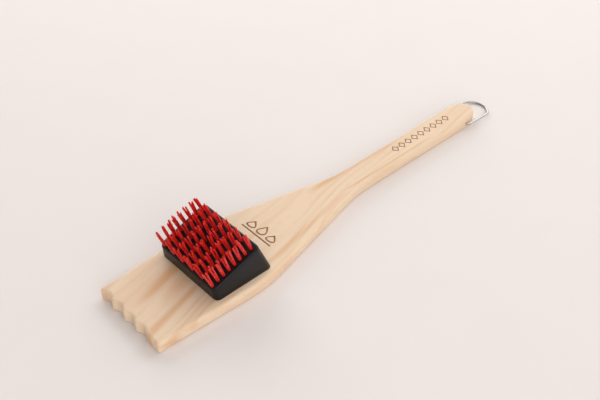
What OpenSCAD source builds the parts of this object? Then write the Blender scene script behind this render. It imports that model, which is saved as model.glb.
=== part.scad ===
// Grill cleaning brush: a wooden scraper paddle that carries a wedge-shaped nylon brush head.
// Millimetres, +Z up. The board lies flat on Z = 0, its length runs along X from the scraper
// end to the hanging loop, and the origin is under the middle of the overall length.

/* [Board] */
// Length of the board, scraper edge to handle tip
board_l = 428; // [400:2:460]
// Thickness of the board
board_t = 12.7; // [12:0.1:13.5]
// Radius of the roundover along the long edges and the tip of the board
edge_r = 3.4; // [2:0.2:4]
// Radius of the softened edge along the scraper end and its notches
end_r = 1.4; // [1:0.2:2]

/* [Blade] */
// Width of the blade at the scraper edge
blade_end_w = 82; // [76:1:86]
// Width of the blade where its sides would meet the shoulders
shoulder_w = 92.5; // [88:0.5:98]
// Distance from the scraper edge to the shoulders
shoulder_x = 111.5; // [104:0.5:120]
// Distance from the scraper edge to where the shoulders run into the handle
neck_x = 249.5; // [230:0.5:270]
// Radius of the two front corners of the blade
blade_corner_r = 2.5; // [1:0.5:4]

/* [Scraper notches] */
// Number of notches that fit over the bars of a grate
notch_count = 4; // [2:1:4]
// Distance from one notch to the next
notch_pitch = 16.2; // [15:0.2:17]
// Depth of a notch
notch_depth = 3; // [1:0.5:4]
// Radius of the round cutter that makes a notch
notch_r = 9; // [8:0.5:12]
// Sideways shift of the whole set of notches
notch_shift = 6.7; // [0:0.1:7]

/* [Handle] */
// Width of the handle
handle_w = 26.4; // [24:0.2:27]
// Width of the handle at its grip swell
grip_w = 27.4; // [26:0.2:27.4]
// Distance from the scraper edge to the middle of the grip swell
grip_x = 380; // [360:5:385]
// Length of the rounded tip of the handle
tip_l = 20; // [14:1:24]

/* [Hanging loop] */
// Diameter of the loop's wire
wire_d = 2.2; // [1.8:0.1:2.6]
// Radial clearance of the wire in its cross hole
wire_clearance = 0.05; // [0.02:0.01:0.1]
// Distance from the cross hole to the tip of the handle
loop_hole_inset = 21; // [18:1:24]
// Distance from the cross hole to the loop's end bar
loop_reach = 42; // [38:0.5:44]
// Width of the loop at the cross hole, between wire centres
loop_w = 32; // [31.6:0.1:34]
// Angle by which each leg leans inwards
leg_lean = 4; // [0:0.1:4]
// Bend radius where a leg turns into the cross hole
root_bend_r = 2.4; // [2:0.1:2.8]
// Bend radius between a leg and the end bar
loop_corner_r = 12.5; // [8:0.5:12.5]
// Length of wire held inside each side of the handle
wire_insert = 9; // [6:0.5:11]

/* [Brush block] */
// Distance from the scraper edge to the front of the block
block_x = 62.5; // [56:0.5:66]
// Length of the block on the board
block_l = 61; // [60:1:64]
// Width of the block on the board
block_w = 76; // [74:1:78]
// Height of the block at its front rim
block_front_h = 14.2; // [13.5:0.1:16]
// Height of the block at its back rim
block_back_h = 32; // [30:0.5:34]
// Overhang of the front rim past the foot of the block
front_overhang = 2.5; // [0:0.5:3]
// Distance that the back rim lies in front of the foot of the block
back_setback = 12.5; // [10:0.5:13]
// Distance that each side leans in from foot to rim
side_setback = 0.5; // [0.2:0.1:1]
// Radius of the block's upright corners
block_corner_r = 5; // [3:0.5:6]
// Width of the softened edge around the rim
rim_chamfer = 1.2; // [0.6:0.2:1.6]
// Thickness of the plate that holds the tufts
plate_t = 12; // [11:0.5:12.5]
// Thickness of the block's side walls
wall_t = 3; // [2.5:0.5:4]

/* [Bristles] */
// Rows of tufts, front to back
tuft_rows = 8; // [4:1:8]
// Tufts in each row
tufts_per_row = 6; // [2:1:6]
// Distance between rows, along the slope
row_pitch = 6.36; // [5.6:0.02:6.4]
// Distance between the tufts of a row
tuft_pitch = 12.9; // [9:0.1:13]
// Distance from the front rim to the first row
first_row = 3.5; // [3.3:0.1:4]
// Diameter of a tuft where it leaves the block
tuft_root_d = 3.4; // [3:0.1:4]
// Diameter of a tuft at its tip
tuft_tip_d = 4.8; // [4:0.1:5.4]
// Length of a tuft above the block
tuft_l = 19.3; // [14:0.1:24]
// Depth of a tuft hole
tuft_hole_depth = 9; // [7:0.5:9.5]

/* [Head screws] */
// Distance from the front of the block to the first pair of screws
screw_x = 18; // [16:1:20]
// Distance between the two pairs of screws
screw_pitch_x = 30; // [26:1:32]
// Distance between the two screws of a pair
screw_pitch_y = 38; // [30:1:40]
// Diameter of a screw's shank
screw_d = 4; // [3.5:0.1:4.2]
// Diameter of a screw's countersunk head
screw_head_d = 8; // [7:0.2:8.4]
// Length of a screw
screw_l = 22; // [20:1:23]

/* [Hidden] */

$fn = 64;
eps = 0.01;
through = 1;

// Board outline and roundover
shoulder_blend = 6;
neck_blend = 3.3;
swell_reach = 45;
edge_steps = 3;
front_steps = 4;
station_pitch = 10;
tip_steps = 8;
// Distance over which the softened edge of the scraper end grows into the roundover
fade_l = 14;
// Share of a section that its rounded corners may take up
corner_share = 0.9;
// The last section, just short of the tip, as a share of the roundover
last_gap = 0.02;
// The notches have a straight flare in place of the softened edge
notch_flare = end_r * 0.7;

// Hanging loop
wire_r = wire_d / 2;
loop_hole_x = board_l - loop_hole_inset;
// The free end bar rests on the same surface as the board
loop_droop = asin((board_t / 2 - wire_r) / loop_reach);
overall_l = loop_hole_x + loop_reach * cos(loop_droop) + wire_r;
root_bend_y = loop_w / 2 - root_bend_r;
corner_x = loop_reach - loop_corner_r;
leg_l = (corner_x - root_bend_r + (loop_corner_r - root_bend_r) * sin(leg_lean)) / cos(leg_lean);
corner_y = root_bend_y - leg_l * sin(leg_lean) - (loop_corner_r - root_bend_r) * cos(leg_lean);
// Straight wire runs this far into a bend, whose wire is a hair thinner, so that they join cleanly
wire_overlap = 0.3;
bend_wire_r = wire_r - 0.05;

// Brush block
rim_front_x = block_x - front_overhang;
rim_back_x = block_x + block_l - back_setback;
rim_w = block_w - 2 * side_setback;
rim_rise = block_back_h - block_front_h;
slope = atan2(rim_rise, rim_back_x - rim_front_x);
slope_l = norm([rim_rise, rim_back_x - rim_front_x]);
foot_t = 0.6;
disc_fn = 32;
hole_fn = 40;

// Tufts and their anchors
hole_clearance = 0.05;
anchor_w = tuft_root_d + 0.5;
anchor_t = 0.5;
anchor_h = 2;
// The folded filaments pass under the anchor
fold_depth = 1.2;

// Screws
boss_d = 9;
pilot_d = screw_d - 1;
screw_hole_d = screw_d + 0.4;
screw_sink = 0.5;
screw_head_h = (screw_head_d - screw_d) / 2;
screw_point_l = 4;
recess_w = 1;
recess_l = 4.2;
recess_depth = 1.8;

// Outline of the board: half its width at distance x from the scraper edge
function soft_min(a, b, k) = let (h = max(k - abs(a - b), 0) / k) min(a, b) - h * h * k / 4;
function soft_max(a, b, k) = let (h = max(k - abs(a - b), 0) / k) max(a, b) + h * h * k / 4;
function mix(a, b, share) = a + (b - a) * share;
function blade_side(x) = mix(blade_end_w, shoulder_w, x / shoulder_x) / 2;
function shoulder_side(x) = mix(shoulder_w, handle_w, (x - shoulder_x) / (neck_x - shoulder_x)) / 2;
function swell(x) = let (s = (x - grip_x) / swell_reach) abs(s) < 1 ? (1 + cos(180 * s)) / 2 : 0;
function handle_side(x) = mix(handle_w, grip_w, swell(x)) / 2;
function long_side(x) = soft_max(
    soft_min(blade_side(x), shoulder_side(x), shoulder_blend), handle_side(x), neck_blend);

// How far a quarter circle of radius r has moved in at distance d from its start
function arc_inset(d, r) = d < r ? r - sqrt(r * r - (r - d) * (r - d)) : 0;
function tip_share(x) = let (s = max(x - (board_l - tip_l), 0) / tip_l) sqrt(max(1 - s * s, 0));
function half_width(x) = long_side(x) * tip_share(x) - arc_inset(x, blade_corner_r);
function end_inset(x) = max(arc_inset(x, end_r), arc_inset(board_l - x, edge_r));

// Stations along the board: close together on the rounded ends, evenly spaced between them
front_l = max(end_r, blade_corner_r);
plain_l = board_l - tip_l - front_l;
plain_steps = round(plain_l / station_pitch);
stations = concat(
    [for (i = [0:front_steps]) front_l * (1 - cos(90 * i / front_steps))],
    [for (i = [1:plain_steps]) front_l + plain_l * i / plain_steps],
    [for (i = [1:tip_steps - 1]) board_l - tip_l + tip_l * sin(90 * i / tip_steps)],
    [board_l - edge_r * last_gap]
);

// A rounded rectangle across the board at station x, as a ring of points
function ring(x) =
    let (
        a = half_width(x),
        b = board_t / 2 - end_inset(x),
        c = min(mix(end_r, edge_r, min(x / fade_l, 1)), corner_share * a, corner_share * b)
    )
    [for (q = [0:3]) for (i = [0:edge_steps])
        let (
            turn = 90 * (q + i / edge_steps),
            side_y = (q == 0 || q == 3) ? 1 : -1,
            side_z = q < 2 ? 1 : -1
        )
        [x, side_y * (a - c) + c * cos(turn), board_t / 2 + side_z * (b - c) + c * sin(turn)]];

module board_solid() {
    rings = len(stations);
    sides = 4 * (edge_steps + 1);
    points = [for (x = stations) each ring(x)];
    skin = [for (i = [0:rings - 2]) for (j = [0:sides - 1])
        let (
            a = i * sides + j,
            b = i * sides + (j + 1) % sides
        )
        each [[a, b, b + sides], [a, b + sides, a + sides]]];
    front_cap = [for (j = [sides - 1:-1:0]) j];
    tip_cap = [for (j = [0:sides - 1]) (rings - 1) * sides + j];
    polyhedron(points, concat([front_cap, tip_cap], skin));
}

module notch_cutter() {
    translate([0, 0, -through]) cylinder(h = board_t + 2 * through, r = notch_r);
    for (up = [0, 1])
        translate([0, 0, up * board_t])
            mirror([0, 0, 1 - up])
                translate([0, 0, -notch_flare])
                    cylinder(h = 2 * notch_flare, r1 = notch_r, r2 = notch_r + 2 * notch_flare);
}

module at_notches() {
    for (i = [0:notch_count - 1])
        translate([notch_depth - notch_r, notch_shift + (i - (notch_count - 1) / 2) * notch_pitch, 0])
            children();
}

module at_screws() {
    for (i = [0, 1])
        for (side = [-1, 1])
            translate([block_x + screw_x + i * screw_pitch_x, side * screw_pitch_y / 2, 0])
                children();
}

// The clearance hole and countersink for one screw, from the underside of the board
module screw_hole() {
    translate([0, 0, -through]) cylinder(h = board_t + 2 * through, d = screw_hole_d);
    translate([0, 0, -through]) cylinder(h = screw_sink + through, d = screw_head_d);
    translate([0, 0, screw_sink]) cylinder(h = screw_head_h, d1 = screw_head_d, d2 = screw_d);
}

module wood_paddle() {
    color("burlywood") on_origin() difference() {
        board_solid();
        at_notches() notch_cutter();
        at_screws() screw_hole();
        translate([loop_hole_x, board_l / 2, board_t / 2])
            rotate([90, 0, 0])
                cylinder(h = board_l, r = wire_r + wire_clearance);
    }
}

// Everything is drawn with the scraper edge at X = 0, then moved to the middle of its length
module on_origin() {
    translate([-overall_l / 2, 0, 0]) children();
}

// The block's sloping face: X along the slope from the front rim, Z square to it
module on_slope() {
    translate([rim_front_x, 0, board_t + block_front_h]) rotate([0, -slope, 0]) children();
}

module at_rim_corners() {
    for (x = [block_corner_r, slope_l - block_corner_r])
        for (side = [-1, 1])
            translate([x, side * (rim_w / 2 - block_corner_r), 0])
                children();
}

module at_foot_corners() {
    for (x = [block_x + block_corner_r, block_x + block_l - block_corner_r])
        for (side = [-1, 1])
            translate([x, side * (block_w / 2 - block_corner_r), board_t])
                children();
}

module block_outside() {
    hull() {
        at_foot_corners() cylinder(h = foot_t, r = block_corner_r, $fn = disc_fn);
        on_slope() at_rim_corners()
            translate([0, 0, -rim_chamfer])
                cylinder(
                    h = rim_chamfer,
                    r1 = block_corner_r,
                    r2 = block_corner_r - rim_chamfer,
                    $fn = disc_fn
                );
    }
}

// The space cored out under the tuft plate, open towards the board
module block_core() {
    core_w = rim_w - 2 * wall_t;
    plate_drop = plate_t / cos(slope);
    function under_plate(x) = block_front_h + (x - rim_front_x) * tan(slope) - plate_drop;
    front = block_x + wall_t;
    back_foot = block_x + block_l - wall_t;
    back_top = back_foot - back_setback;
    translate([0, core_w / 2, board_t])
        rotate([90, 0, 0])
            linear_extrude(core_w)
                polygon([
                    [front, -eps],
                    [back_foot, -eps],
                    [back_top, under_plate(back_top)],
                    [front, under_plate(front)]
                ]);
}

module at_tuft(row, column) {
    on_slope()
        translate([
            first_row + (row - 1) * row_pitch,
            (column - (tufts_per_row - 1) / 2) * tuft_pitch,
            0
        ])
            children();
}

module brush_block() {
    color([0.09, 0.09, 0.10]) on_origin() difference() {
        block_outside();
        difference() {
            block_core();
            at_screws() cylinder(h = board_t + block_back_h, d = boss_d);
        }
        at_screws() cylinder(h = screw_sink + screw_l + eps, d = pilot_d);
        for (row = [1:tuft_rows])
            for (column = [0:tufts_per_row - 1])
                at_tuft(row, column)
                    translate([0, 0, -tuft_hole_depth])
                        cylinder(
                            h = tuft_hole_depth + through,
                            d = tuft_root_d + 2 * hole_clearance,
                            $fn = hole_fn
                        );
    }
}

// One bundle of filaments, folded under its anchor at the bottom of its hole
module tuft() {
    difference() {
        union() {
            translate([0, 0, -tuft_hole_depth]) cylinder(h = tuft_hole_depth, d = tuft_root_d);
            cylinder(h = tuft_l, d1 = tuft_root_d, d2 = tuft_tip_d);
        }
        translate([0, 0, -tuft_hole_depth + fold_depth + anchor_h / 2])
            cube([anchor_t, tuft_tip_d, anchor_h], center = true);
    }
}

module tuft_row(row) {
    color([0.80, 0.10, 0.09]) on_origin()
        for (column = [0:tufts_per_row - 1])
            at_tuft(row, column) tuft();
}

module tuft_anchors(row) {
    color("silver") on_origin()
        for (column = [0:tufts_per_row - 1])
            at_tuft(row, column)
                translate([0, 0, -tuft_hole_depth + fold_depth + anchor_h / 2])
                    cube([anchor_t, anchor_w, anchor_h], center = true);
}

// A countersunk screw, its head down and its point up
module screw() {
    difference() {
        union() {
            cylinder(h = screw_head_h, d1 = screw_head_d, d2 = screw_d);
            cylinder(h = screw_l - screw_point_l, d = screw_d);
            translate([0, 0, screw_l - screw_point_l])
                cylinder(h = screw_point_l, d1 = screw_d, d2 = pilot_d / 2);
        }
        for (turn = [0, 90])
            rotate([0, 0, turn])
                cube([recess_l, recess_w, 2 * recess_depth], center = true);
    }
}

module head_screws() {
    color("silver") on_origin()
        at_screws() translate([0, 0, screw_sink]) screw();
}

// Half of the loop without its end bar, flat, with the hinge line along Y and the legs along +X
module half_loop() {
    handle_half = half_width(loop_hole_x);
    translate([0, handle_half - wire_insert, 0])
        rotate([-90, 0, 0])
            cylinder(h = root_bend_y - handle_half + wire_insert + wire_overlap, r = wire_r);
    translate([root_bend_r, root_bend_y, 0])
        rotate([0, 0, 90 - leg_lean])
            rotate_extrude(angle = 90 + leg_lean)
                translate([root_bend_r, 0]) circle(bend_wire_r);
    translate([root_bend_r, root_bend_y, 0])
        rotate([0, 0, -leg_lean])
            translate([-wire_overlap, root_bend_r, 0])
                rotate([0, 90, 0])
                    cylinder(h = leg_l + 2 * wire_overlap, r = wire_r);
    translate([corner_x, corner_y, 0])
        rotate_extrude(angle = 90 - leg_lean)
            translate([loop_corner_r, 0]) circle(bend_wire_r);
}

module hang_loop() {
    bar_half = corner_y + wire_overlap;
    color("silver") on_origin()
        translate([loop_hole_x, 0, board_t / 2])
            rotate([0, loop_droop, 0])
                union() {
                    half_loop();
                    mirror([0, 1, 0]) half_loop();
                    translate([loop_reach, -bar_half, 0])
                        rotate([-90, 0, 0])
                            cylinder(h = 2 * bar_half, r = wire_r);
                }
}

wood_paddle();
brush_block();
head_screws();
hang_loop();
for (row = [1:tuft_rows]) {
    tuft_row(row);
    tuft_anchors(row);
}
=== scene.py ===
import math
import bmesh
import bpy
import numpy as np
from mathutils import Matrix, Vector


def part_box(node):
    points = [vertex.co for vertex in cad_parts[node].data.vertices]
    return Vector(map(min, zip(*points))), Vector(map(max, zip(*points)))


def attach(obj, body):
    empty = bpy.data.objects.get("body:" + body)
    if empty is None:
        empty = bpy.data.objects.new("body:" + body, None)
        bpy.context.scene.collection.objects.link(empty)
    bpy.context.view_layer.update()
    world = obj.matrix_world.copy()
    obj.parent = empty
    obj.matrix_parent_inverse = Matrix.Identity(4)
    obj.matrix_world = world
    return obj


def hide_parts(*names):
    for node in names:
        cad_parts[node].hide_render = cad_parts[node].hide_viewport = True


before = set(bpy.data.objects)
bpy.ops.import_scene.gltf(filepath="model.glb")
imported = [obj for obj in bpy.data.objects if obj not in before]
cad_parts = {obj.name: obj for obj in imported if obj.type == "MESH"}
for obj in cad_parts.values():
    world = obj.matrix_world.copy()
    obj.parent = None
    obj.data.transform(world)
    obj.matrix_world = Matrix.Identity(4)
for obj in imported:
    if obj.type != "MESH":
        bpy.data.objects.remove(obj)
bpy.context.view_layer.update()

# Geometry is worked out in millimetres from the scraper edge, with the board lying on Z = 0,
# and turned into the row frame's metres when its mesh is made.
MM = 0.001
SCRAPER_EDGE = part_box("wood_paddle")[0].x
BOARD_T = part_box("wood_paddle")[1].z / MM

# Board
BOARD_L = 428.0
# The edges' rounding grows from END_R at the scraper end to EDGE_R at FADE_L from it
EDGE_R, END_R, FADE_L = 3.4, 2.2, 14.0
BLADE_END_W = 82.0
SHOULDER_W, SHOULDER_X, SHOULDER_BLEND = 92.5, 111.5, 6.0
NECK_X, NECK_BLEND = 249.5, 3.3
HANDLE_W, GRIP_W, GRIP_X, SWELL_REACH = 26.4, 27.4, 380.0, 45.0
TIP_L = 20.0
BLADE_CORNER_R = 2.5
NOTCH_COUNT, NOTCH_PITCH, NOTCH_DEPTH, NOTCH_R, NOTCH_SHIFT = 4, 16.2, 3.0, 9.0, 6.7

# Brush block
BLOCK_X, BLOCK_L, BLOCK_W = 62.5, 61.0, 76.0
BLOCK_FRONT_H, BLOCK_BACK_H = 14.2, 32.0
FRONT_OVERHANG, BACK_SETBACK, SIDE_SETBACK = 2.5, 12.5, 0.5
BLOCK_CORNER_R, PLATE_T, WALL_T = 5.0, 12.0, 3.0
RIM_R, FRONT_RIM_R, FOOT_R = 1.9, 4.3, 0.5
RIM_FRONT_X = BLOCK_X - FRONT_OVERHANG
RIM_BACK_X = BLOCK_X + BLOCK_L - BACK_SETBACK
RIM_W = BLOCK_W - 2 * SIDE_SETBACK
SLOPE = math.atan2(BLOCK_BACK_H - BLOCK_FRONT_H, RIM_BACK_X - RIM_FRONT_X)
SLOPE_L = math.hypot(BLOCK_BACK_H - BLOCK_FRONT_H, RIM_BACK_X - RIM_FRONT_X)

# Bristles
TUFT_ROWS, TUFTS_PER_ROW = 8, 6
ROW_PITCH, TUFT_PITCH, FIRST_ROW = 6.36, 12.9, 3.5
TUFT_ROOT_R, TUFT_TIP_R, TUFT_L, TUFT_HOLE_DEPTH = 1.7, 2.4, 19.3, 9.0
FILAMENTS, FILAMENT_R = 32, 0.36
FILAMENT_SINK, CRIMP, CRIMP_L = 2.5, 0.05, 5.2
TUFT_CLEARANCE, HOLE_LIP, LIP_DEPTH = 0.05, 0.6, 0.35

# Screws
SCREW_X, SCREW_PITCH_X, SCREW_PITCH_Y = 18.0, 30.0, 38.0
SCREW_D, SCREW_HEAD_D, SCREW_L, SCREW_SINK = 4.0, 8.0, 22.0, 0.5
PILOT_D, BOSS_D = SCREW_D - 1.0, 9.0
SHANK_CLEARANCE, HEAD_CLEARANCE = 0.2, 0.1

# Hanging loop
WIRE_R, WIRE_CLEARANCE = 1.1, 0.05
LOOP_HOLE_X, LOOP_REACH, LOOP_W = BOARD_L - 21.0, 42.0, 32.0
LEG_LEAN, ROOT_BEND_R, LOOP_CORNER_R, WIRE_INSERT = math.radians(4.0), 2.4, 12.5, 9.0

# Burned ornament: three flames over a bar on the blade, and a row of lozenges on the handle
BURN_DEPTH = 0.25
MARK_Y, MARK_LINE = 1.6, 1.5
FLAME_X, FLAME_PITCH, FLAME_W, FLAME_L, MIDDLE_FLAME_L = 140.8, 12.8, 11.6, 10.0, 13.0
BAR_X, BAR_L = 138.4, 38.0
LOZENGES, LOZENGE_X, LOZENGE_Y, LOZENGE_PITCH = 9, 318.0, 1.8, 9.1
LOZENGE_L, LOZENGE_W, LOZENGE_LINE = 6.8, 7.8, 0.95


# ---------------------------------------------------------------- meshes

def in_frame(points):
    """Points in millimetres from the scraper edge, in the row frame's metres."""
    return np.asarray(points, float).reshape(-1, 3) * MM + np.array([SCRAPER_EDGE, 0, 0])


def add_mesh(name, points, faces, material):
    """A mesh object with its faces turned outwards."""
    mesh = bpy.data.meshes.new(name)
    mesh.from_pydata(in_frame(points).tolist(), [], faces)
    work = bmesh.new()
    work.from_mesh(mesh)
    bmesh.ops.recalc_face_normals(work, faces=work.faces)
    work.to_mesh(mesh)
    work.free()
    mesh.materials.append(material)
    piece = bpy.data.objects.new(name, mesh)
    bpy.context.scene.collection.objects.link(piece)
    return piece


def shade(piece, degrees):
    """Smooth shading, with edges sharper than this angle left crisp."""
    piece.data.shade_smooth()
    piece.data.set_sharp_from_angle(angle=math.radians(degrees))


def cut(piece, cutter):
    """Takes the cutter's solids out of the piece; the cut faces keep the cutter's material."""
    modifier = piece.modifiers.new("cut", "BOOLEAN")
    modifier.operation = "DIFFERENCE"
    modifier.solver = "EXACT"
    modifier.material_mode = "TRANSFER"
    modifier.object = cutter
    depsgraph = bpy.context.evaluated_depsgraph_get()
    mesh = bpy.data.meshes.new_from_object(piece.evaluated_get(depsgraph))
    piece.modifiers.clear()
    piece.data = mesh
    bpy.data.objects.remove(cutter)


class Solids:
    """Points and faces of several closed solids, gathered for one mesh."""

    def __init__(self):
        self.points, self.faces = [], []

    def add(self, points, faces):
        start = len(self.points)
        self.points.extend(np.asarray(points, float).reshape(-1, 3).tolist())
        self.faces.extend([start + i for i in face] for face in faces)

    def add_rings(self, rings, closed=False):
        """A tube through rings of equal length, capped unless it closes on itself."""
        count, sides = len(rings), len(rings[0])
        last = count if closed else count - 1
        faces = [
            [
                i * sides + j,
                i * sides + (j + 1) % sides,
                (i + 1) % count * sides + (j + 1) % sides,
                (i + 1) % count * sides + j,
            ]
            for i in range(last)
            for j in range(sides)
        ]
        if not closed:
            faces.append(list(range(sides))[::-1])
            faces.append([(count - 1) * sides + j for j in range(sides)])
        self.add(np.concatenate(rings), faces)

    def add_revolved(self, profile, origin, along, across, sides=48):
        """A solid of revolution; profile is (distance along the axis, radius) pairs."""
        along, across = np.array(along, float), np.array(across, float)
        third = np.cross(along, across)
        turns = 2 * math.pi * np.arange(sides) / sides
        spokes = np.outer(np.cos(turns), across) + np.outer(np.sin(turns), third)
        self.add_rings([np.array(origin) + d * along + r * spokes for d, r in profile])

    def to_piece(self, name, material):
        return add_mesh(name, self.points, self.faces, material)


# ---------------------------------------------------------------- board

def soft_min(a, b, k):
    h = np.maximum(k - np.abs(a - b), 0) / k
    return np.minimum(a, b) - h * h * k / 4


def soft_max(a, b, k):
    return -soft_min(-a, -b, k)


def arc_inset(d, r):
    """How far a quarter circle of radius r has moved in at distance d from its start."""
    d = np.minimum(d, r)
    return r - np.sqrt(r * r - (r - d) ** 2)


def half_width(x):
    """Half the board's width at distance x from the scraper edge."""
    blade = (BLADE_END_W + (SHOULDER_W - BLADE_END_W) * x / SHOULDER_X) / 2
    shoulder = (
        SHOULDER_W + (HANDLE_W - SHOULDER_W) * (x - SHOULDER_X) / (NECK_X - SHOULDER_X)
    ) / 2
    s = np.clip((x - GRIP_X) / SWELL_REACH, -1, 1)
    handle = (HANDLE_W + (GRIP_W - HANDLE_W) * (1 + np.cos(math.pi * s)) / 2) / 2
    side = soft_max(soft_min(blade, shoulder, SHOULDER_BLEND), handle, NECK_BLEND)
    tip = np.sqrt(1 - (np.clip(x - BOARD_L + TIP_L, 0, TIP_L) / TIP_L) ** 2)
    return side * tip - arc_inset(x, BLADE_CORNER_R)


def notch_centres():
    return NOTCH_SHIFT + (np.arange(NOTCH_COUNT) - (NOTCH_COUNT - 1) / 2) * NOTCH_PITCH


def notch_inset(y):
    """How far the scraper edge is cut back at place y across the blade."""
    inset = np.zeros_like(y)
    for centre in notch_centres():
        chord = np.sqrt(np.maximum(NOTCH_R**2 - (y - centre) ** 2, 0))
        inset = np.maximum(inset, chord - (NOTCH_R - NOTCH_DEPTH))
    return inset


def board_outline():
    """The board's outline seen from above, as a closed ring of points."""
    x = np.concatenate([
        np.linspace(0, 2 * BLADE_CORNER_R, 25),
        np.arange(2 * BLADE_CORNER_R + 2, BOARD_L - TIP_L, 2.0),
        BOARD_L - TIP_L + TIP_L * np.sin(np.linspace(0, math.pi / 2, 60)),
    ])
    side = np.stack([x, half_width(x)], 1)
    y = np.arange(-half_width(np.array(0.0)), half_width(np.array(0.0)), 0.2)
    front = np.stack([notch_inset(y), y], 1)
    return np.concatenate([side, (side * [1, -1])[::-1], front])


def distance_to_outline(points, outline):
    """Each point's distance to the closed outline, worked out for some 400 points at a time."""
    start, run = outline, np.roll(outline, -1, 0) - outline
    length2 = np.maximum((run**2).sum(1), 1e-12)
    found = []
    for some in np.array_split(points, max(1, len(points) // 400)):
        rel = some[:, None, :] - start[None]
        share = np.clip((rel * run).sum(2) / length2, 0, 1)
        gap = rel - share[..., None] * run
        found.append(np.sqrt((gap**2).sum(2).min(1)))
    return np.concatenate(found)


def board_columns():
    """Places across the blade at its scraper edge, close together at edges and notch walls."""
    coarse_step, least_step = 2.7, 0.08
    inner = BLADE_END_W / 2 - EDGE_R
    edge = EDGE_R * (1 - np.cos(np.linspace(0, math.pi / 2, 8)))
    between = np.arange(-inner, inner, coarse_step)
    places = [BLADE_END_W / 2 - edge, edge - BLADE_END_W / 2, between]
    reach = math.sqrt(NOTCH_R**2 - (NOTCH_R - NOTCH_DEPTH) ** 2)
    for centre in notch_centres():
        wall = centre + reach * np.sin(np.linspace(-math.pi / 2, math.pi / 2, 17))
        places.append(wall[np.abs(wall) < inner])
    places = np.sort(np.concatenate(places))
    return places[np.concatenate([[True], np.diff(places) > least_step])]


def board_grid():
    """X and Y of the board's grid of points, row by row from the scraper edge to the tip."""
    reach = 16.0  # how far from the scraper edge the grid still bends round its notches
    stations = np.concatenate([
        reach * np.linspace(0, 1, 20) ** 2,
        np.arange(reach + 4, BOARD_L - TIP_L - 2, 4.0),
        BOARD_L - TIP_L + TIP_L * np.sin(np.linspace(0, math.pi / 2 - 0.01, 18)),
    ])
    columns = board_columns()
    inner = BLADE_END_W / 2 - EDGE_R
    # Where the board is narrow, at its tip, the columns along its edges close up
    half = half_width(stations)[:, None]
    squeeze = np.minimum(1, 0.6 * half / EDGE_R)
    edge_gap = (BLADE_END_W / 2 - np.abs(columns)) * squeeze
    at_edge = np.sign(columns) * (half - edge_gap)
    between = columns / inner * (half - EDGE_R * squeeze)
    y = np.where(np.abs(columns) > inner, at_edge, between)
    fade = np.maximum(0, 1 - stations / reach)[:, None]
    x = stations[:, None] + notch_inset(y) * fade
    return x, y


def board_surface():
    """Points and faces of the board: one grid for the top, one for the underside."""
    x, y = board_grid()
    rows, columns = x.shape
    plan = np.stack([x.ravel(), y.ravel()], 1)
    depth = distance_to_outline(plan, board_outline()).reshape(rows, columns)
    depth[0], depth[-1], depth[:, 0], depth[:, -1] = 0, 0, 0, 0
    fade = np.clip(x / FADE_L, 0, 1)
    drop = arc_inset(depth, END_R + (EDGE_R - END_R) * fade * fade * (3 - 2 * fade))
    top = np.stack([x, y, BOARD_T - drop], 2).reshape(-1, 3)
    under = np.stack([x, y, drop], 2).reshape(-1, 3)
    index = np.arange(rows * columns).reshape(rows, columns)
    a, b = index[:-1, :-1].ravel(), index[1:, :-1].ravel()
    c, d = index[1:, 1:].ravel(), index[:-1, 1:].ravel()
    low = rows * columns
    faces = np.concatenate([
        np.stack([a, b, c, d], 1),
        np.stack([d, c, b, a], 1) + low,
    ]).tolist()
    rim = np.concatenate([index[0], index[1:, -1], index[-1, -2::-1], index[-2:0:-1, 0]])
    faces += [[i, j, j + low, i + low] for i, j in zip(rim, np.roll(rim, -1))]
    return np.concatenate([top, under]), faces


def ribbon(solids, path, width, closed):
    """A groove cutter that follows a path on the board's top face, mitred at its corners."""
    path = np.asarray(path, float)
    ahead = np.roll(path, -1, 0) - path
    if not closed:
        ahead[-1] = ahead[-2]
    ahead /= np.linalg.norm(ahead, axis=1)[:, None]
    behind = np.roll(ahead, 1, 0)
    if not closed:
        behind[0] = ahead[0]
    across = ahead + behind
    across = np.stack([-across[:, 1], across[:, 0]], 1)
    across /= np.linalg.norm(across, axis=1)[:, None]
    square = np.stack([-ahead[:, 1], ahead[:, 0]], 1)
    reach = width / 2 / np.maximum((across * square).sum(1), 0.4)
    left, right = path + across * reach[:, None], path - across * reach[:, None]
    low, high = BOARD_T - BURN_DEPTH, BOARD_T + 1
    rings = [
        np.array([[*l, low], [*r, low], [*r, high], [*l, high]]) for l, r in zip(left, right)
    ]
    solids.add_rings(rings, closed)


def flame(solids, centre, length, width, line):
    """A groove cutter between two flames, one inside the other, that point along +X."""
    turn = np.linspace(0, 2 * math.pi, 56, endpoint=False)
    # A teardrop of unit length, narrow at its tip and bent a little to one side
    belly = np.sin(turn) * np.sin(turn / 2) ** 1.5 * 0.62
    shape = np.stack([np.cos(turn) / 2, belly + 0.05 * np.cos(2 * turn)], 1)
    outside = centre + shape * [length, width]
    # The inner flame stands back from the tip, so that the line stays as wide there
    inside = centre + shape * [length - 2.6 * line, width - 2 * line] - [0.3 * line, 0]
    low, high = BOARD_T - BURN_DEPTH, BOARD_T + 1
    rings = [
        np.array([[*o, low], [*i, low], [*i, high], [*o, high]])
        for o, i in zip(outside, inside)
    ]
    solids.add_rings(rings, closed=True)


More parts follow.
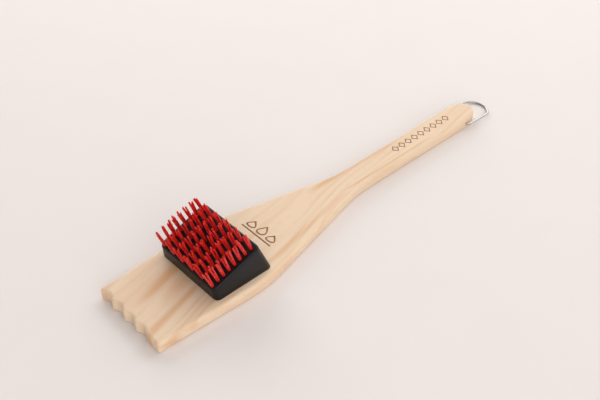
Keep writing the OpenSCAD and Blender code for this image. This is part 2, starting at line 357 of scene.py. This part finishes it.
def burned_ornament():
    """Cutters for the burned ornament on the blade and the handle."""
    solids = Solids()
    for k in (-1, 0, 1):
        length = MIDDLE_FLAME_L if k == 0 else FLAME_L
        centre = np.array([FLAME_X + length / 2, MARK_Y + FLAME_PITCH * k])
        flame(solids, centre, length, FLAME_W, MARK_LINE)
    bar = [[BAR_X, MARK_Y - BAR_L / 2], [BAR_X, MARK_Y + BAR_L / 2]]
    ribbon(solids, bar, MARK_LINE, closed=False)
    lozenge = np.array([[1, 0], [0, 1], [-1, 0], [0, -1]]) * [LOZENGE_L / 2, LOZENGE_W / 2]
    for k in range(LOZENGES):
        centre = np.array([LOZENGE_X + LOZENGE_PITCH * k, LOZENGE_Y])
        ribbon(solids, centre + lozenge, LOZENGE_LINE, closed=True)
    return solids


def screw_places():
    """X and Y of the four screws."""
    return [
        (BLOCK_X + SCREW_X + i * SCREW_PITCH_X, side * SCREW_PITCH_Y / 2)
        for i in (0, 1)
        for side in (-1, 1)
    ]


def make_paddle(wood, burned):
    points, faces = board_surface()
    paddle = add_mesh("wood_paddle_turned", points, faces, wood)
    holes = Solids()
    head_h = (SCREW_HEAD_D - SCREW_D) / 2
    head_r = SCREW_HEAD_D / 2 + HEAD_CLEARANCE
    hole_r = SCREW_D / 2 + SHANK_CLEARANCE
    for x, y in screw_places():
        profile = [
            (-1, head_r),
            (SCREW_SINK, head_r),
            (SCREW_SINK + head_h, hole_r),
            (BOARD_T + 1, hole_r),
        ]
        holes.add_revolved(profile, (x, y, 0), (0, 0, 1), (1, 0, 0))
    bore_r = WIRE_R + WIRE_CLEARANCE
    profile = [(-HANDLE_W, bore_r), (HANDLE_W, bore_r)]
    holes.add_revolved(profile, (LOOP_HOLE_X, 0, BOARD_T / 2), (0, 1, 0), (1, 0, 0))
    cut(paddle, holes.to_piece("holes", wood))
    cut(paddle, burned_ornament().to_piece("grooves", burned))
    shade(paddle, 34)
    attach(paddle, "board")
    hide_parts("wood_paddle")


# ---------------------------------------------------------------- brush block

def on_slope(u, v, w):
    """A point at u along the sloping face, v across it and w above it."""
    return np.stack([
        RIM_FRONT_X + u * math.cos(SLOPE) - w * math.sin(SLOPE),
        v + 0 * u,
        BOARD_T + BLOCK_FRONT_H + u * math.sin(SLOPE) + w * math.cos(SLOPE),
    ], -1)


def rounded_rectangle(length, width, radius, inset, steps=12):
    """A ring of points around a rounded rectangle that starts at X = 0, moved in by inset."""
    turns = np.concatenate([
        np.linspace(q * math.pi / 2, (q + 1) * math.pi / 2, steps + 1) for q in range(4)
    ])
    sign_x = np.repeat([1, -1, -1, 1], steps + 1)
    sign_y = np.repeat([1, 1, -1, -1], steps + 1)
    r = radius - inset
    x = length / 2 + sign_x * (length / 2 - radius) + r * np.cos(turns)
    y = sign_y * (width / 2 - radius) + r * np.sin(turns)
    return x, y


def block_rings():
    """Rings up the block's sides and over its rounded rim."""

    def foot(inset, height):
        x, y = rounded_rectangle(BLOCK_L, BLOCK_W, BLOCK_CORNER_R, inset)
        return np.stack([BLOCK_X + x, y, BOARD_T + height + 0 * x], 1)

    # The rim is rounded more along the front, and the radius changes round the corners
    along, _ = rounded_rectangle(SLOPE_L, RIM_W, BLOCK_CORNER_R, 0)
    to_front = np.clip(1 - along / BLOCK_CORNER_R, 0, 1)
    rim_r = RIM_R + (FRONT_RIM_R - RIM_R) * to_front

    def rim(inset, drop):
        u, v = rounded_rectangle(SLOPE_L, RIM_W, BLOCK_CORNER_R, inset)
        return on_slope(u, v, -drop)

    rings = [foot(FOOT_R, 0), foot(FOOT_R * 0.3, FOOT_R * 0.3), foot(0, FOOT_R)]
    low, high = rings[-1], rim(0, rim_r)
    rings += [low + (high - low) * share for share in np.linspace(0, 1, 9)[1:]]
    for turn in np.linspace(0, math.pi / 2, 10)[1:]:
        rings.append(rim(rim_r * (1 - math.cos(turn)), rim_r * (1 - math.sin(turn))))
    rings.append(rim(rim_r + 0.4, 0))
    return rings


def block_core():
    """The space cored out of the block's underside, as a side profile across its width."""
    solids = Solids()
    drop = PLATE_T / math.cos(SLOPE)

    def under_plate(x):
        return BLOCK_FRONT_H + (x - RIM_FRONT_X) * math.tan(SLOPE) - drop

    front, back = BLOCK_X + WALL_T, BLOCK_X + BLOCK_L - WALL_T
    back_top = back - BACK_SETBACK
    profile = [
        (front, -1),
        (back, -1),
        (back_top, under_plate(back_top)),
        (front, under_plate(front)),
    ]
    half = RIM_W / 2 - WALL_T
    solids.add_rings([
        np.array([[x, side * half, BOARD_T + z] for x, z in profile]) for side in (-1, 1)
    ])
    return solids


def screw_posts(radius, top):
    """A round post up each screw's axis, from below the board to this height."""
    posts = Solids()
    for x, y in screw_places():
        posts.add_revolved([(-1, radius), (top, radius)], (x, y, 0), (0, 0, 1), (1, 0, 0))
    return posts


def tuft_places():
    """Row number, and each tuft's place along and across the sloping face."""
    for row in range(TUFT_ROWS):
        for column in range(TUFTS_PER_ROW):
            across = (column - (TUFTS_PER_ROW - 1) / 2) * TUFT_PITCH
            yield row, FIRST_ROW + row * ROW_PITCH, across


def make_block(plastic):
    solids = Solids()
    solids.add_rings(block_rings())
    block = solids.to_piece("brush_block_moulding", plastic)
    normal = (-math.sin(SLOPE), 0, math.cos(SLOPE))
    hole_r = TUFT_ROOT_R + TUFT_CLEARANCE
    holes = Solids()
    for _, u, v in tuft_places():
        profile = [
            (-TUFT_HOLE_DEPTH, hole_r),
            (-LIP_DEPTH, hole_r),
            (HOLE_LIP - LIP_DEPTH, hole_r + HOLE_LIP),
        ]
        holes.add_revolved(profile, on_slope(u, v, 0), normal, (0, 1, 0), sides=28)
    cut(block, holes.to_piece("holes", plastic))
    core = block_core().to_piece("core", plastic)
    cut(core, screw_posts(BOSS_D / 2, BOARD_T + BLOCK_BACK_H).to_piece("bosses", plastic))
    cut(block, core)
    cut(block, screw_posts(PILOT_D / 2, SCREW_SINK + SCREW_L).to_piece("pilots", plastic))
    shade(block, 30)
    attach(block, "board")
    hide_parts("brush_block")


# ---------------------------------------------------------------- bristles

def filament_lines(rng, rings):
    """Centre lines of one tuft's filaments, square to the face, as (filament, ring, xyz)."""
    count = np.arange(FILAMENTS)
    golden_angle = math.pi * (3 - math.sqrt(5))
    packing = 0.85
    spread = (TUFT_ROOT_R - FILAMENT_R) * packing * np.sqrt((count + 0.5) / FILAMENTS)
    turn = count * golden_angle + rng.uniform(0, 2 * math.pi)
    root = np.stack([np.cos(turn), np.sin(turn)], 1) * spread[:, None]
    # Filaments gather into two or three wisps, which split a tuft's tip
    wisps = rng.integers(2, 4)
    wisp_turn = rng.uniform(0, 2 * math.pi) + 2 * math.pi * np.arange(wisps) / wisps
    wisp_at = np.stack([np.cos(wisp_turn), np.sin(wisp_turn)], 1)
    near = ((root[:, None] - wisp_at[None] * TUFT_ROOT_R * 0.5) ** 2).sum(2).argmin(1)
    parting = rng.uniform(0.3, 0.525, wisps)[near][:, None] * TUFT_TIP_R
    tip = wisp_at[near] * parting + root * 0.85
    stray, lean = rng.normal(0, 0.14, tip.shape), rng.normal(0, 0.45, 2)
    tip = tip + stray + lean
    length = TUFT_L + rng.normal(0, 0.4, FILAMENTS) + rng.normal(0, 0.6, wisps)[near]
    # From its root each line swells outwards a little, then bends over to its tip
    share = np.linspace(0, 1, rings)
    belly = 0.5 * share * (1 - share)
    line = np.zeros((FILAMENTS, rings, 3))
    line[..., :2] = root[:, None] * (1 + belly[None, :, None])
    line[..., :2] += (tip - root)[:, None] * (share**1.2)[None, :, None]
    line[..., 2] = -FILAMENT_SINK + (length[:, None] + FILAMENT_SINK) * share
    # Crimp: a shallow wave along each filament
    phase = rng.uniform(0, 2 * math.pi, FILAMENTS)[:, None]
    crimp_turn = rng.uniform(0, math.pi, FILAMENTS)[:, None]
    wave = CRIMP * np.sin(2 * math.pi * line[..., 2] / CRIMP_L + phase) * np.minimum(1, share * 4)
    line[..., 0] += wave * np.cos(crimp_turn)
    line[..., 1] += wave * np.sin(crimp_turn)
    return line


def tubes_around(lines, sides, radii):
    """Points of thin tubes round the lines, and the faces that skin and cap them."""
    count, rings = lines.shape[:2]
    turn = 2 * math.pi * np.arange(sides) / sides
    circle = np.stack([np.cos(turn), np.sin(turn), 0 * turn], 1)
    points = lines[:, :, None] + circle[None, None] * radii[None, :, None, None]
    i = np.arange(rings - 1)[:, None] * sides
    j = np.arange(sides)[None]
    k = (j + 1) % sides
    skin = np.stack([i + j, i + k, i + sides + k, i + sides + j], 2).reshape(-1, 4)
    caps = [np.arange(sides)[::-1], (rings - 1) * sides + np.arange(sides)]
    faces = []
    for n in range(count):
        start = n * rings * sides
        faces += (skin + start).tolist() + [(cap + start).tolist() for cap in caps]
    return points.reshape(-1, 3), faces


def make_bristles(nylon):
    rings, sides = 11, 6
    # Each filament narrows at its cut end
    radii = FILAMENT_R * np.array([1.0] * (rings - 2) + [0.92, 0.62])
    for row in range(TUFT_ROWS):
        solids = Solids()
        for at_row, u, v in tuft_places():
            if at_row != row:
                continue
            # A fixed seed for each tuft, from its place
            rng = np.random.default_rng(1000 + 97 * row + int(10 * (v + 100)))
            points, faces = tubes_around(filament_lines(rng, rings), sides, radii)
            solids.add(on_slope(u + points[:, 0], v + points[:, 1], points[:, 2]), faces)
        piece = solids.to_piece(f"tuft_row_{row + 1}_filaments", nylon)
        shade(piece, 60)
        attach(piece, "board")
        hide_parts(f"tuft_row_{row + 1}")


# ---------------------------------------------------------------- hanging loop

def half_loop_path():
    """The loop's centre line from inside the handle to the middle of its end bar, lying flat."""
    handle_half = float(half_width(np.array(LOOP_HOLE_X)))
    root_y = LOOP_W / 2 - ROOT_BEND_R
    corner_x = LOOP_REACH - LOOP_CORNER_R
    leg_l = (
        corner_x - ROOT_BEND_R + (LOOP_CORNER_R - ROOT_BEND_R) * math.sin(LEG_LEAN)
    ) / math.cos(LEG_LEAN)
    corner_y = (
        root_y - leg_l * math.sin(LEG_LEAN) - (LOOP_CORNER_R - ROOT_BEND_R) * math.cos(LEG_LEAN)
    )
    insert = np.stack([np.zeros(6), np.linspace(handle_half - WIRE_INSERT, root_y, 6)], 1)
    turn = np.linspace(math.pi, math.pi / 2 - LEG_LEAN, 14)
    root = np.stack([
        ROOT_BEND_R + ROOT_BEND_R * np.cos(turn),
        root_y + ROOT_BEND_R * np.sin(turn),
    ], 1)
    turn = np.linspace(math.pi / 2 - LEG_LEAN, 0, 20)
    corner = np.stack([
        corner_x + LOOP_CORNER_R * np.cos(turn),
        corner_y + LOOP_CORNER_R * np.sin(turn),
    ], 1)
    leg = root[-1] + (corner[0] - root[-1]) * np.linspace(0, 1, 12)[1:-1, None]
    bar = np.stack([np.full(5, LOOP_REACH), np.linspace(corner_y, 0, 6)[1:]], 1)
    return np.concatenate([insert, root[1:], leg, corner, bar])


def make_loop(steel):
    half = half_loop_path()
    path = np.concatenate([half, (half * [1, -1])[-2::-1]])
    ahead = np.gradient(path, axis=0)
    ahead /= np.linalg.norm(ahead, axis=1)[:, None]
    side = np.stack([-ahead[:, 1], ahead[:, 0]], 1)
    sides = 24
    turn = 2 * math.pi * np.arange(sides) / sides
    # The loop hangs down from its hole until its end bar rests on the floor
    droop = math.asin((BOARD_T / 2 - WIRE_R) / LOOP_REACH)
    radii = np.full(len(path), WIRE_R)
    radii[0] = radii[-1] = WIRE_R * 0.7
    rings = []
    for at, square, r in zip(path, side, radii):
        flat = np.outer(np.cos(turn), square) * r + at
        up = np.sin(turn) * r
        rings.append(np.stack([
            LOOP_HOLE_X + flat[:, 0] * math.cos(droop) + up * math.sin(droop),
            flat[:, 1],
            BOARD_T / 2 - flat[:, 0] * math.sin(droop) + up * math.cos(droop),
        ], 1))
    solids = Solids()
    solids.add_rings(rings)
    loop = solids.to_piece("hang_loop_wire", steel)
    shade(loop, 50)
    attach(loop, "loop")
    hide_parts("hang_loop")


# ---------------------------------------------------------------- materials

class Shader:
    """A material's nodes, with short calls for the ones used here."""

    def __init__(self, name):
        self.material = bpy.data.materials.new(name)
        self.material.use_nodes = True
        self.tree = self.material.node_tree
        self.bsdf = self.tree.nodes["Principled BSDF"]

    def put(self, socket, value):
        if isinstance(value, bpy.types.NodeSocket):
            self.tree.links.new(value, socket)
        else:
            socket.default_value = value

    def set(self, name, value):
        self.put(self.bsdf.inputs[name], value)

    def math(self, operation, a, b=0.0, clamp=False):
        node = self.tree.nodes.new("ShaderNodeMath")
        node.operation, node.use_clamp = operation, clamp
        self.put(node.inputs[0], a)
        self.put(node.inputs[1], b)
        return node.outputs[0]

    def steps(self, value, low, high, to_low=0.0, to_high=1.0):
        """A smooth step from to_low at low to to_high at high."""
        node = self.tree.nodes.new("ShaderNodeMapRange")
        node.interpolation_type = "SMOOTHSTEP"
        for socket, v in zip(node.inputs, (value, low, high, to_low, to_high)):
            self.put(socket, v)
        return node.outputs[0]

    def position(self):
        """X, Y and Z in millimetres, with X from the scraper edge."""
        place = self.tree.nodes.new("ShaderNodeTexCoord").outputs["Object"]
        split = self.tree.nodes.new("ShaderNodeSeparateXYZ")
        self.put(split.inputs[0], place)
        x, y, z = (self.math("DIVIDE", out, MM) for out in split.outputs)
        return self.math("SUBTRACT", x, SCRAPER_EDGE / MM), y, z

    def vector(self, x, y, z):
        node = self.tree.nodes.new("ShaderNodeCombineXYZ")
        for socket, v in zip(node.inputs, (x, y, z)):
            self.put(socket, v)
        return node.outputs[0]

    def noise(self, place, stretch=(1, 1, 1), detail=2.0, roughness=0.5, seed=0.0):
        """Noise from 0 to 1, with features about 1 / stretch millimetres across."""
        scaled = [self.math("MULTIPLY", p, s) for p, s in zip(place, stretch)]
        scaled[2] = self.math("ADD", scaled[2], seed)
        node = self.tree.nodes.new("ShaderNodeTexNoise")
        self.put(node.inputs["Vector"], self.vector(*scaled))
        node.inputs["Scale"].default_value = 1.0
        node.inputs["Detail"].default_value = detail
        node.inputs["Roughness"].default_value = roughness
        return node.outputs[0]

    def mix(self, share, a, b):
        node = self.tree.nodes.new("ShaderNodeMix")
        node.data_type = "RGBA"
        self.put(node.inputs[0], share)
        self.put(node.inputs[6], (*a, 1) if isinstance(a, tuple) else a)
        self.put(node.inputs[7], (*b, 1) if isinstance(b, tuple) else b)
        return node.outputs[2]

    def bump(self, height, distance_mm, strength=1.0):
        node = self.tree.nodes.new("ShaderNodeBump")
        node.inputs["Strength"].default_value = strength
        node.inputs["Distance"].default_value = distance_mm * MM
        self.put(node.inputs["Height"], height)
        self.set("Normal", node.outputs[0])


def streak(shader, place, at, slope, width, start, stop):
    """A soft band along the grain: 1 on the line Y = at + slope * X between start and stop."""
    fade = 18.0
    x, y, _ = place
    line = shader.math("ADD", shader.math("MULTIPLY", x, slope), at)
    off = shader.math("ABSOLUTE", shader.math("SUBTRACT", y, line))
    band = shader.steps(off, 0.0, width, 1.0, 0.0)
    begun = shader.steps(x, start - fade, start + fade)
    ended = shader.steps(x, stop - fade, stop + fade, 1.0, 0.0)
    return shader.math("MULTIPLY", band, shader.math("MULTIPLY", begun, ended))


def wood_material():
    """Pale sanded pine: growth rings cut nearly flat, fine fibres and a few warm bands, two of
    them partly painted shade in front of the block.
    """
    s = Shader("pale_wood")
    x, y, z = s.position()
    place = (x, y, z)
    # The grain drifts across the blade and closes up towards the handle
    drift = s.math("ADD", s.math("MULTIPLY", x, 0.11), s.steps(x, 0.0, 75.0, 0.0, 9.0))
    wander = s.math("SUBTRACT", s.noise(place, (0.009, 0.02, 0.02), 1.0), 0.5)
    wander = s.math("MULTIPLY", wander, 16)
    close = s.steps(x, 60.0, 260.0, 1.0, 0.62)
    grain_y = s.math("DIVIDE", s.math("ADD", s.math("SUBTRACT", y, drift), wander), close)
    # Growth rings round a pith under the board, each darkening slowly and ending sharply
    pith_y, pith_z, ring_pitch = 12.0, -34.0, 8.5
    across, up = s.math("SUBTRACT", grain_y, pith_y), s.math("SUBTRACT", z, pith_z)
    ring_r = s.math("ADD", s.math("MULTIPLY", across, across), s.math("MULTIPLY", up, up))
    ring = s.math("FRACT", s.math("DIVIDE", s.math("SQRT", ring_r), ring_pitch))
    late = s.math("MULTIPLY", s.steps(ring, 0.25, 0.88), s.steps(ring, 0.9, 1.0, 1.0, 0.0))
    patches = s.noise(place, (0.012, 0.05, 0.05), 1.0, seed=7.0)
    rings = s.math("MULTIPLY", late, s.steps(patches, 0.35, 0.7, 0.15, 1.0))
    # Fibres follow the grain
    along = (x, grain_y, z)
    fibre = s.noise(along, (0.03, 1.3, 1.3), 4.0, 0.6, seed=3.0)
    fine = s.noise(along, (0.12, 5.0, 5.0), 3.0, 0.6, seed=11.0)
    broad = s.noise(along, (0.01, 0.11, 0.11), 2.0, 0.5, seed=19.0)
    # Warm bands along the grain: Y at X = 0, slope, half width, start, stop and strength. The
    # first two end at the block's front, and are partly grain figure and partly painted shade
    # cast by the block on the wood before it.
    figure_and_block_shade = 0.0
    for at, slope, width, start, stop, strength in (
        (1.0, 0.26, 8.0, 20.0, 66.0, 0.9),
        (-12.0, 0.24, 11.0, 38.0, 66.0, 0.75),
        (-29.0, 0.27, 6.0, -10.0, 66.0, 1.0),
        (-46.0, 0.30, 4.0, -10.0, 70.0, 0.6),
        (36.0, 0.20, 5.0, -10.0, 18.0, 0.7),
        (-58.0, 0.20, 5.0, 125.0, 235.0, 0.6),
        (12.0, 0.0, 5.5, 215.0, 320.0, 1.0),
        (-9.0, 0.0, 2.6, 240.0, 350.0, 0.9),
    ):
        band = streak(s, place, at, slope, width, start, stop)
        figure_and_block_shade = s.math("MAXIMUM", figure_and_block_shade, s.math("MULTIPLY", band, strength))
    # The colour deepens towards warm with the rings and the bands, including the painted block
    # shade
    depth = s.math("ADD", s.math("MULTIPLY", rings, 0.34), s.math("MULTIPLY", figure_and_block_shade, 0.62))
    for grain, amount in ((broad, 0.9), (fibre, 0.35), (fine, 0.20)):
        swing = s.math("MULTIPLY", s.math("SUBTRACT", grain, 0.5), amount)
        depth = s.math("ADD", depth, swing)
    pale, warm, dark = (0.79, 0.605, 0.435), (0.64, 0.335, 0.145), (0.38, 0.19, 0.08)
    color = s.mix(depth, pale, warm)
    # Resin ducts: short dark dashes along the grain
    duct = s.noise(along, (0.10, 2.6, 2.6), 0.0, seed=29.0)
    ducts = s.steps(duct, 0.76, 0.84)
    color = s.mix(s.math("MULTIPLY", ducts, 0.5), color, dark)
    s.set("Base Color", color)
    s.set("Roughness", s.math("ADD", s.math("MULTIPLY", fibre, 0.18), 0.46))
    s.set("Specular IOR Level", 0.35)
    relief = s.math("SUBTRACT", s.math("ADD", s.math("MULTIPLY", fine, 0.6), fibre), ducts)
    s.bump(relief, 0.05, 0.6)
    return s.material


def burned_material():
    """Laser-burned wood: scorched brown, darker in patches."""
    s = Shader("burned_wood")
    place = s.position()
    char = s.noise(place, (0.35, 1.1, 1.1), 3.0, 0.6, seed=5.0)
    light, dark = (0.36, 0.165, 0.065), (0.19, 0.075, 0.027)
    s.set("Base Color", s.mix(s.steps(char, 0.3, 0.7), light, dark))
    s.set("Roughness", s.math("ADD", s.math("MULTIPLY", char, 0.15), 0.7))
    s.bump(char, 0.08, 0.8)
    return s.material


def plastic_material():
    """Black moulded plastic with a fine satin texture and faint handling marks."""
    s = Shader("black_satin_plastic")
    place = s.position()
    texture = s.noise(place, (3.2, 3.2, 3.2), 3.0, 0.6)
    cloud = s.noise(place, (0.07, 0.07, 0.07), 3.0, 0.6, seed=4.0)
    rub = s.steps(s.noise(place, (0.5, 0.09, 0.5), 4.0, 0.7, seed=9.0), 0.55, 0.8)
    tone = s.math("MULTIPLY", cloud, 0.6, clamp=True)
    tone = s.math("ADD", tone, s.math("MULTIPLY", rub, 0.25), clamp=True)
    s.set("Base Color", s.mix(tone, (0.0034, 0.0028, 0.0038), (0.0075, 0.0066, 0.0080)))
    rough = s.math("ADD", s.math("MULTIPLY", cloud, 0.12), 0.24)
    s.set("Roughness", s.math("ADD", rough, s.math("MULTIPLY", texture, 0.1)))
    s.set("Specular IOR Level", 0.26)
    s.bump(texture, 0.03, 0.5)
    return s.material


def nylon_material():
    """Red nylon filament: glossy, slightly see-through, paler towards its cut end."""
    s = Shader("red_nylon")
    x, y, z = s.position()
    island = s.tree.nodes.new("ShaderNodeNewGeometry").outputs["Random Per Island"]
    # Height above the sloping face
    above = s.math("SUBTRACT", z, BOARD_T + BLOCK_FRONT_H)
    rise = s.math("MULTIPLY", s.math("SUBTRACT", x, RIM_FRONT_X), math.tan(SLOPE))
    height = s.math("MULTIPLY", s.math("SUBTRACT", above, rise), math.cos(SLOPE))
    band = s.noise((x, y, z), (0.5, 0.5, 0.1), 2.0, seed=2.0)
    tone = s.math("ADD", s.math("MULTIPLY", island, 0.4), s.math("MULTIPLY", band, 0.6))
    color = s.mix(tone, (0.60, 0.006, 0.006), (1.0, 0.046, 0.038))
    tip = s.steps(height, TUFT_L - 1.6, TUFT_L + 0.6, 0.0, 0.45)
    color = s.mix(tip, color, (1.0, 0.10, 0.075))
    s.set("Base Color", color)
    s.set("Roughness", s.math("ADD", s.math("MULTIPLY", band, 0.16), 0.2))
    s.set("Subsurface Weight", 0.4)
    s.set("Subsurface Radius", (1.0, 0.06, 0.05))
    s.set("Subsurface Scale", 0.0016)
    s.bump(s.noise((x, y, z), (5.0, 5.0, 0.8), 2.0), 0.01, 0.3)
    return s.material


def metal_material(name, bright, dull, roughness, scratch):
    """Plated steel with fine marks drawn out along X."""
    s = Shader(name)
    x, y, z = s.position()
    marks = s.noise((x, y, z), (scratch, scratch * 4, scratch * 4), 4.0, 0.65)
    cloud = s.noise((x, y, z), (0.3, 0.3, 0.3), 2.0, seed=6.0)
    s.set("Base Color", s.mix(cloud, bright, dull))
    s.set("Metallic", 1.0)
    s.set("Roughness", s.math("ADD", s.math("MULTIPLY", marks, roughness), roughness * 0.5))
    s.bump(marks, 0.01, 0.3)
    return s.material


# ---------------------------------------------------------------- stage

def make_floor():
    """A plain pale floor under the object, which isn't part of it."""
    s = Shader("pale_floor")
    cloud = s.noise(s.position(), (0.02, 0.02, 0.02), 3.0)
    s.set("Base Color", s.mix(cloud, (0.80, 0.750, 0.730), (0.82, 0.770, 0.750)))
    s.set("Roughness", 0.75)
    s.set("Specular IOR Level", 0.2)
    half = 6.0  # metres
    mesh = bpy.data.meshes.new("floor")
    corners = [(-half, -half, 0), (half, -half, 0), (half, half, 0), (-half, half, 0)]
    mesh.from_pydata(corners, [], [(0, 1, 2, 3)])
    mesh.materials.append(s.material)
    floor = bpy.data.objects.new("floor", mesh)
    bpy.context.scene.collection.objects.link(floor)


def add_area_light(name, towards, distance, size, power, color):
    """A square softbox that faces the frame's origin; distance and size are in metres."""
    light = bpy.data.lights.new(name, "AREA")
    light.shape, light.size, light.energy, light.color = "SQUARE", size, power, color
    lamp = bpy.data.objects.new(name, light)
    direction = Vector(towards).normalized()
    lamp.location = direction * distance
    lamp.rotation_euler = direction.to_track_quat("Z", "Y").to_euler()
    bpy.context.scene.collection.objects.link(lamp)


def make_lights():
    """Three softboxes in a pale studio, which is darker overhead and at the horizon."""
    add_area_light("key_softbox", (1.0, 0.10, 0.80), 1.9, 1.6, 15.0, (1.0, 0.975, 0.95))
    add_area_light("near_softbox", (-0.50, -0.80, 0.70), 1.8, 2.0, 14.0, (1.0, 0.97, 0.94))
    add_area_light("far_softbox", (0.30, 0.95, 0.50), 1.9, 1.6, 16.0, (1.0, 0.975, 0.95))
    world = bpy.data.worlds.new("studio")
    bpy.context.scene.world = world
    world.use_nodes = True
    tree = world.node_tree
    background = tree.nodes["Background"]
    place = tree.nodes.new("ShaderNodeTexCoord").outputs["Generated"]
    split = tree.nodes.new("ShaderNodeSeparateXYZ")
    ramp = tree.nodes.new("ShaderNodeValToRGB")
    tree.links.new(place, split.inputs[0])
    tree.links.new(split.outputs[2], ramp.inputs[0])
    tree.links.new(ramp.outputs[0], background.inputs["Color"])
    # Brightness from the horizon, 0, to overhead, 1
    stops = [(0.0, 0.45), (0.12, 1.0), (0.45, 1.0), (0.75, 0.32)]
    ramp.color_ramp.elements.new(0.3)
    ramp.color_ramp.elements.new(0.6)
    for element, (position, level) in zip(ramp.color_ramp.elements, stops):
        element.position = position
        element.color = (level, level * 0.985, level * 0.97, 1)
    # A dark patch beyond the scraper end on the far side, for the block's face to reflect
    side = tree.nodes.new("ShaderNodeVectorMath")
    side.operation = "DOT_PRODUCT"
    side.inputs[1].default_value = (-0.68, 0.55, 0.49)
    dim = tree.nodes.new("ShaderNodeMapRange")
    dim.interpolation_type = "SMOOTHSTEP"
    tree.links.new(place, side.inputs[0])
    tree.links.new(side.outputs["Value"], dim.inputs[0])
    tree.links.new(dim.outputs[0], background.inputs["Strength"])
    edge, middle, bright, dark = 0.70, 0.95, 1.06, 0.15
    for socket, value in zip(dim.inputs[1:5], (edge, middle, bright, dark)):
        socket.default_value = value


def make_camera():
    """The photograph's view: from the scraper end, to one side and above."""
    yaw, pitch = math.radians(42.47), math.radians(41.88)
    distance, target = 0.93604, Vector((SCRAPER_EDGE + 0.2066, 0.01801, 0.0022))
    ahead = Vector((
        math.sin(yaw) * math.cos(pitch), math.cos(yaw) * math.cos(pitch), -math.sin(pitch)
    ))
    right = Vector((math.cos(yaw), -math.sin(yaw), 0))
    up = right.cross(ahead)
    camera = bpy.data.objects.new("camera", bpy.data.cameras.new("camera"))
    turn = Matrix((right, up, -ahead)).transposed().to_4x4()
    camera.matrix_world = Matrix.Translation(target - ahead * distance) @ turn
    camera.data.sensor_width = 36.0
    camera.data.lens = 60.0
    camera.data.clip_start = 0.01
    bpy.context.scene.collection.objects.link(camera)
    bpy.context.scene.camera = camera


# ---------------------------------------------------------------- the scene

make_camera()
zinc = metal_material("zinc_plate", (0.66, 0.66, 0.65), (0.56, 0.57, 0.58), 0.30, 1.2)
chrome = metal_material("bright_wire", (0.52, 0.52, 0.50), (0.40, 0.40, 0.39), 0.28, 1.5)
make_paddle(wood_material(), burned_material())
make_block(plastic_material())
make_bristles(nylon_material())
make_loop(chrome)
for node_name in ["head_screws"] + [f"tuft_anchors_{row + 1}" for row in range(TUFT_ROWS)]:
    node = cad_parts[node_name]
    node.data.materials.clear()
    node.data.materials.append(zinc)
make_floor()
make_lights()
bpy.context.scene.view_settings.view_transform = "Standard"
